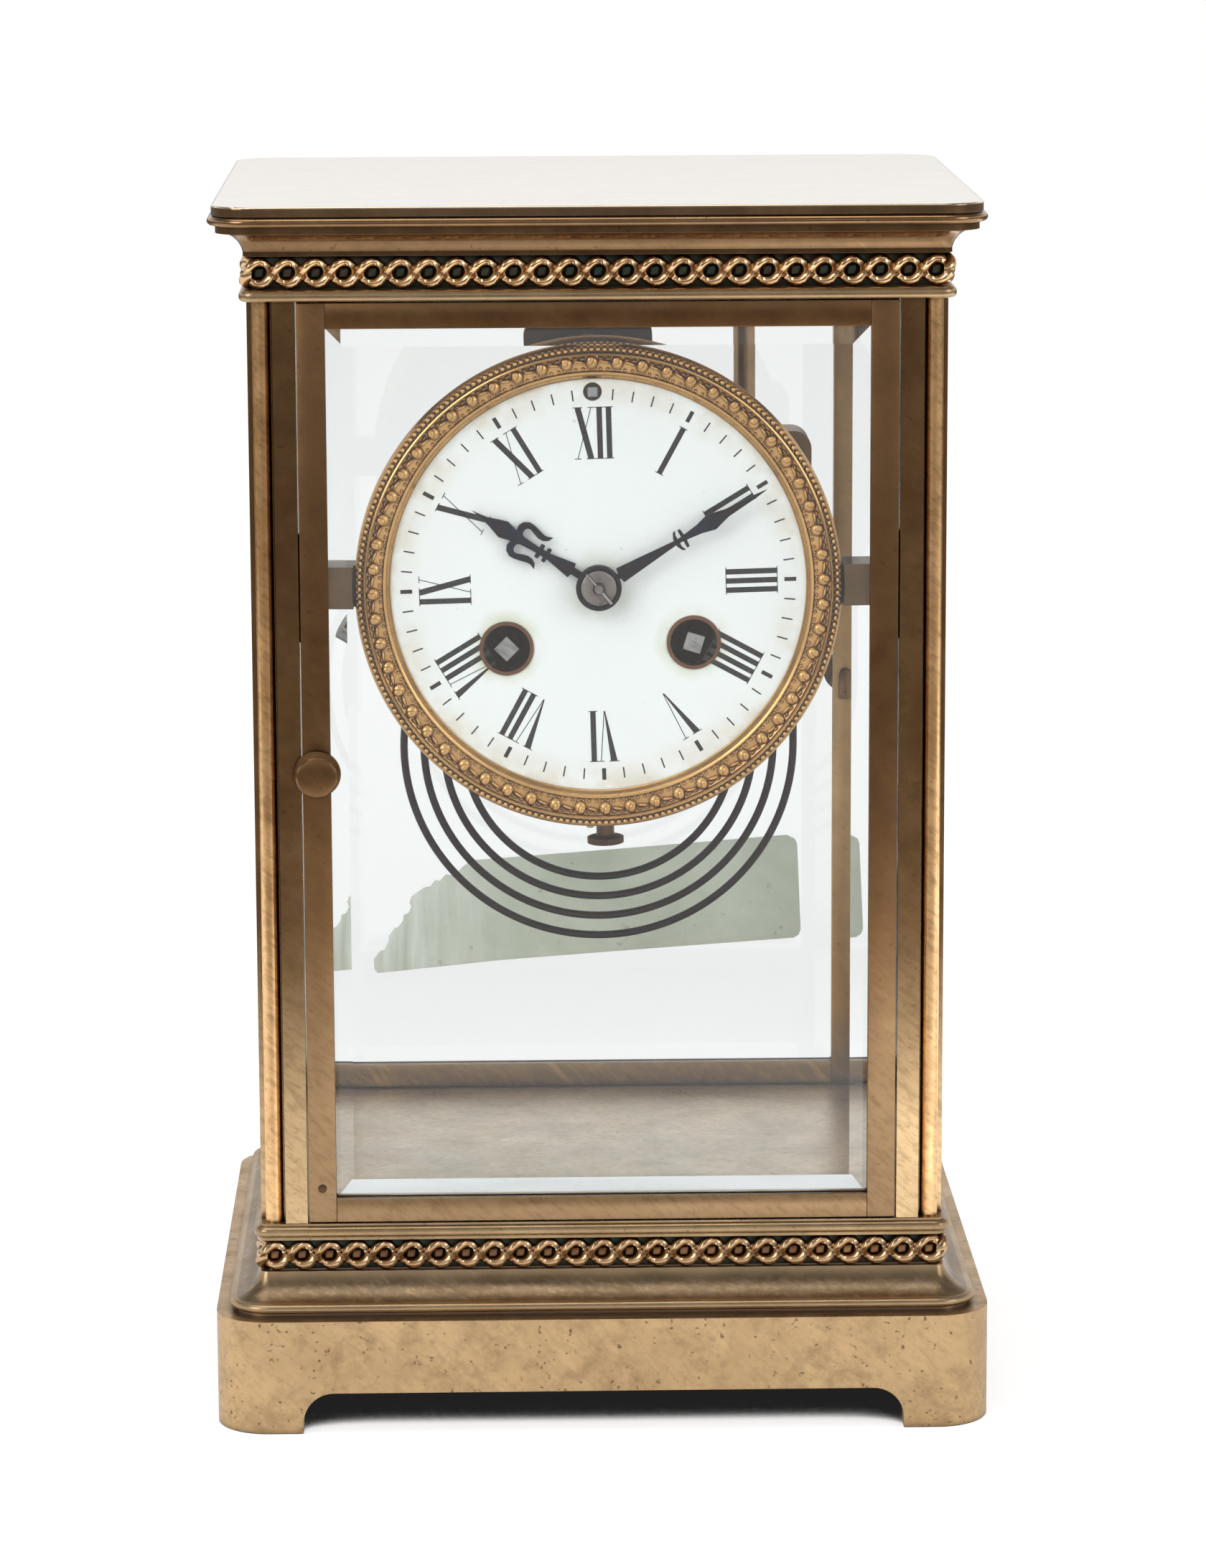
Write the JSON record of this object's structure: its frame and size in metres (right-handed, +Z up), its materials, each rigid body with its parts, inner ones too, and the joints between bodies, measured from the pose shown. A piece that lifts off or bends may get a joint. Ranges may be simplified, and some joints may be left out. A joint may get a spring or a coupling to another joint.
{
  "type": "four-glass table clock",
  "caption": "Brass four-glass table clock with hinged front and rear glass doors, enamel dial with blued hands, striking movement, coiled gong and small pendulum.",
  "frame": {"origin": "middle of the footprint, on the surface the clock stands on", "axes": "+Z up, -Y out of the dial towards the viewer, +X to the viewer's right"},
  "size_m": [0.165, 0.1426, 0.26],
  "materials": {
    "plinth": "aged polished brass",
    "case_moulding": "aged polished brass",
    "chain": "aged brass, darker in its hollows",
    "floor_plate": "aged brass, stained",
    "pillars": "aged brass",
    "upper_ledge": "aged brass",
    "cornice": "aged brass",
    "top_plate": "aged polished brass",
    "side_rails": "aged brass",
    "case_glass": "clear bevelled glass",
    "fasteners": "turned screws",
    "movement_ring": "dull brass",
    "bezel": "gilt",
    "dial_enamel": "white enamel",
    "dial_plate": "dull brass",
    "eyelets": "copper-coloured rings",
    "straps": "dull brass",
    "movement_plates": "brushed brass",
    "steel_arbors": "dark polished steel",
    "gong_stand": "dull brass",
    "gong": "dark tempered steel wire",
    "door_frames": "aged brass, brown",
    "knobs": "aged brass",
    "label": "old paper",
    "hands": "blued steel, nearly black",
    "wheels": "brushed brass",
    "springs": "blued spring steel",
    "pendulum": "lacquered brass",
    "thumb_screw": "dark brass"
  },
  "bodies": {
    "case": {"plinth": "plinth", "base_moulding": "case_moulding", "lower_chain": "chain", "floor_plate": "floor_plate", "front_pillars": "pillars", "rear_pillars": "pillars", "upper_ledge": "upper_ledge", "cornice": "cornice", "upper_chain": "chain", "top_plate": "top_plate", "side_rails": "side_rails", "side_glasses": "case_glass", "fasteners": "fasteners", "movement_ring": "movement_ring", "bezel": "bezel", "dial": "dial_enamel", "dial_plate": "dial_plate", "dial_eyelets": "eyelets", "strap_left": "straps", "strap_right": "straps", "front_plate": "movement_plates", "back_plate": "movement_plates", "plate_pillars": "movement_plates", "suspension_cock": "movement_plates", "clicks": "steel_arbors", "gong_stand": "gong_stand", "gong": "gong"},
    "front_door": {"front_door_frame": "door_frames", "front_door_glass": "case_glass", "front_hinge_pins": "steel_arbors"},
    "front_latch": {"front_knob": "knobs"},
    "rear_door": {"rear_door_frame": "door_frames", "rear_door_glass": "case_glass", "rear_hinge_pins": "steel_arbors", "rear_label": "label"},
    "rear_latch": {"rear_knob": "knobs"},
    "centre_arbor": {"minute_hand": "hands", "hand_collet": "hands", "cannon_pinion": "steel_arbors", "centre_wheel": "wheels"},
    "hour_pipe": {"hour_hand": "hands", "hour_wheel": "wheels"},
    "minute_work": {"minute_wheel": "wheels"},
    "going_drum": {"going_barrel": "wheels", "going_mainspring": "springs"},
    "going_second": {"second_wheel": "wheels"},
    "going_third": {"third_wheel": "wheels"},
    "escapement": {"escape_wheel": "wheels"},
    "pallet_arbor": {"pallets": "steel_arbors"},
    "pendulum_swing": {"pendulum": "pendulum"},
    "strike_drum": {"strike_barrel": "wheels", "strike_mainspring": "springs"},
    "strike_second": {"strike_wheel": "wheels"},
    "strike_pins": {"pin_wheel": "wheels"},
    "fly_arbor": {"fly": "wheels"},
    "hammer_arbor": {"hammer": "steel_arbors"},
    "going_winder": {"going_arbor": "steel_arbors"},
    "strike_winder": {"strike_arbor": "steel_arbors"},
    "regulator": {"regulator_arbor": "steel_arbors"},
    "thumb": {"thumb_screw": "thumb_screw"}
  },
  "joints": [
    {"name": "front_door_swing", "type": "hinge", "parent": "case", "child": "front_door", "pos_m": [0.06, -0.0592, 0.1417], "axis": [0, 0, 1], "range_deg": [0, 90]},
    {"name": "front_latch_turn", "type": "hinge", "parent": "front_door", "child": "front_latch", "pos_m": [-0.0593, -0.0616, 0.141], "axis": [0, 1, 0], "range_deg": [0, 90]},
    {"name": "rear_door_swing", "type": "hinge", "parent": "case", "child": "rear_door", "pos_m": [-0.06, 0.0592, 0.1417], "axis": [0, 0, 1], "range_deg": [0, 90]},
    {"name": "rear_latch_turn", "type": "hinge", "parent": "rear_door", "child": "rear_latch", "pos_m": [0.0593, 0.0616, 0.141], "axis": [0, -1, 0], "range_deg": [0, 90]},
    {"name": "minute_hand_turn", "type": "hinge", "parent": "case", "child": "centre_arbor", "pos_m": [0, -0.024, 0.1787], "axis": [0, 1, 0], "continuous": true},
    {"name": "hour_hand_turn", "type": "hinge", "parent": "case", "child": "hour_pipe", "pos_m": [0, -0.045, 0.1787], "axis": [0, 1, 0], "continuous": true},
    {"name": "minute_wheel_turn", "type": "hinge", "parent": "case", "child": "minute_work", "pos_m": [0.00031, -0.042, 0.1667], "axis": [0, 1, 0], "continuous": true},
    {"name": "going_barrel_turn", "type": "hinge", "parent": "case", "child": "going_drum", "pos_m": [0.02008, -0.024, 0.16642], "axis": [0, 1, 0], "continuous": true},
    {"name": "second_wheel_turn", "type": "hinge", "parent": "case", "child": "going_second", "pos_m": [0.01164, -0.024, 0.18583], "axis": [0, 1, 0], "continuous": true},
    {"name": "third_wheel_turn", "type": "hinge", "parent": "case", "child": "going_third", "pos_m": [-0.00034, -0.024, 0.19182], "axis": [0, 1, 0], "continuous": true},
    {"name": "escape_wheel_turn", "type": "hinge", "parent": "case", "child": "escapement", "pos_m": [-0.00063, -0.024, 0.20261], "axis": [0, 1, 0], "continuous": true},
    {"name": "pendulum_swing_turn", "type": "hinge", "parent": "case", "child": "pendulum_swing", "pos_m": [-0.00093, 0.002, 0.21439], "axis": [0, 1, 0], "range_deg": [-3, 3]},
    {"name": "pallets_rock", "type": "hinge", "parent": "case", "child": "pallet_arbor", "pos_m": [-0.00093, -0.024, 0.21439], "axis": [0, 1, 0], "range_deg": [-3, 3]},
    {"name": "strike_wheel_turn", "type": "hinge", "parent": "case", "child": "strike_second", "pos_m": [-0.012, -0.024, 0.18521], "axis": [0, 1, 0], "continuous": true},
    {"name": "strike_barrel_turn", "type": "hinge", "parent": "case", "child": "strike_drum", "pos_m": [-0.01941, -0.024, 0.16539], "axis": [0, 1, 0], "continuous": true},
    {"name": "pin_wheel_turn", "type": "hinge", "parent": "case", "child": "strike_pins", "pos_m": [-0.02369, -0.024, 0.19155], "axis": [0, 1, 0], "continuous": true},
    {"name": "fly_turn", "type": "hinge", "parent": "case", "child": "fly_arbor", "pos_m": [-0.02218, -0.024, 0.20164], "axis": [0, 1, 0], "continuous": true},
    {"name": "hammer_lift", "type": "hinge", "parent": "case", "child": "hammer_arbor", "pos_m": [-0.03592, 0, 0.18676], "axis": [0, 1, 0], "range_deg": [0, 12]},
    {"name": "going_winding_turn", "type": "hinge", "parent": "case", "child": "going_winder", "pos_m": [0.02008, -0.045, 0.16642], "axis": [0, 1, 0], "continuous": true},
    {"name": "strike_winding_turn", "type": "hinge", "parent": "case", "child": "strike_winder", "pos_m": [-0.01941, -0.045, 0.16539], "axis": [0, 1, 0], "continuous": true},
    {"name": "regulator_turn", "type": "hinge", "parent": "case", "child": "regulator", "pos_m": [-0.00107, -0.024, 0.21969], "axis": [0, 1, 0], "continuous": true},
    {"name": "thumb_screw_turn", "type": "hinge", "parent": "case", "child": "thumb", "pos_m": [0.00131, -0.0415, 0.12872], "axis": [0.0262, 0, -0.9997], "continuous": true}
  ],
  "couplings": [
    {"joint": "hour_hand_turn", "follows": "minute_hand_turn", "ratio": 0.083333},
    {"joint": "minute_wheel_turn", "follows": "minute_hand_turn", "ratio": -0.33333},
    {"joint": "second_wheel_turn", "follows": "minute_hand_turn", "ratio": -0.18182},
    {"joint": "going_barrel_turn", "follows": "minute_hand_turn", "ratio": 0.027273},
    {"joint": "third_wheel_turn", "follows": "minute_hand_turn", "ratio": -7.2},
    {"joint": "escape_wheel_turn", "follows": "minute_hand_turn", "ratio": 57.6},
    {"joint": "pallets_rock", "follows": "pendulum_swing_turn", "ratio": 1},
    {"joint": "strike_barrel_turn", "follows": "strike_wheel_turn", "ratio": -0.15},
    {"joint": "pin_wheel_turn", "follows": "strike_wheel_turn", "ratio": -6.6},
    {"joint": "fly_turn", "follows": "strike_wheel_turn", "ratio": 49.5}
  ]
}
